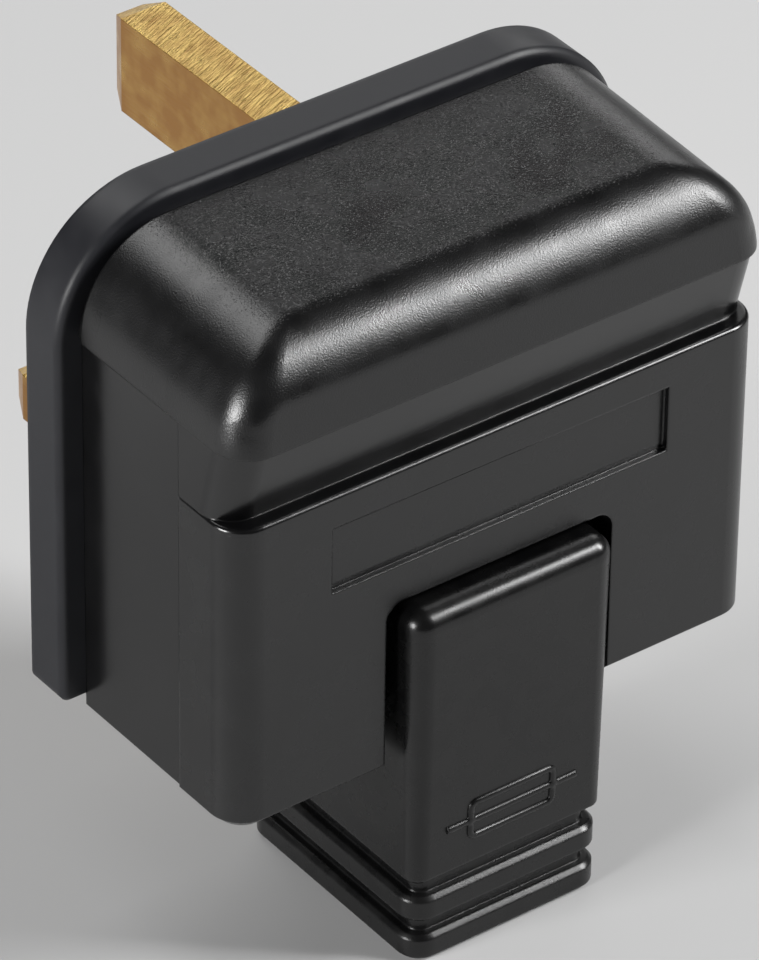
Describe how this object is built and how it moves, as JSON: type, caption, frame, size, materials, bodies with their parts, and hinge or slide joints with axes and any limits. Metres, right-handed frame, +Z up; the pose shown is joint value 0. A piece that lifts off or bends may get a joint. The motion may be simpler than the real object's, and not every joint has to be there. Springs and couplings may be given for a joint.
{
  "type": "electrical plug",
  "caption": "Rewirable rectangular-pin mains plug with a flat base plate, domed rear cover with a finger ledge, and a ribbed rubber cable boot at the foot.",
  "frame": {"origin": "on the engagement face, at the centre of the pin pattern", "axes": "+Y the way the pins point, into the socket; +Z up, towards the earth pin; +X to the right seen from behind"},
  "size_m": [0.05, 0.0484, 0.0593],
  "materials": {
    "base_plastic": "satin dark grey",
    "cover_plastic": "semi-gloss black with a fine moulded texture",
    "boot_rubber": "satin black",
    "sleeve_plastic": "matt black",
    "brass": "machined",
    "steel": "zinc plated",
    "plated_metal": "nickel plated",
    "fuse_ceramic": "glazed off-white",
    "washer_fibre": "red fibre"
  },
  "bodies": {
    "root": {"base_plate": "base_plastic", "cable_boot": "boot_rubber", "clamp_bar": "base_plastic", "clamp_screws": "steel", "clip_rivets": "brass", "cover_insert": "brass", "cover_screw": "steel", "earth_pin": "brass", "fuse_cap_pin_end": "plated_metal", "fuse_cap_terminal_end": "plated_metal", "fuse_tube": "fuse_ceramic", "fuse_wire": "plated_metal", "live_pin": "brass", "live_pin_sleeve": "sleeve_plastic", "live_terminal": "brass", "neutral_pin": "brass", "neutral_pin_sleeve": "sleeve_plastic", "pin_fuse_clip": "brass", "rear_cover": "cover_plastic", "screw_washer": "washer_fibre", "terminal_fuse_clip": "brass", "terminal_screws": "brass"}
  },
  "joints": []
}
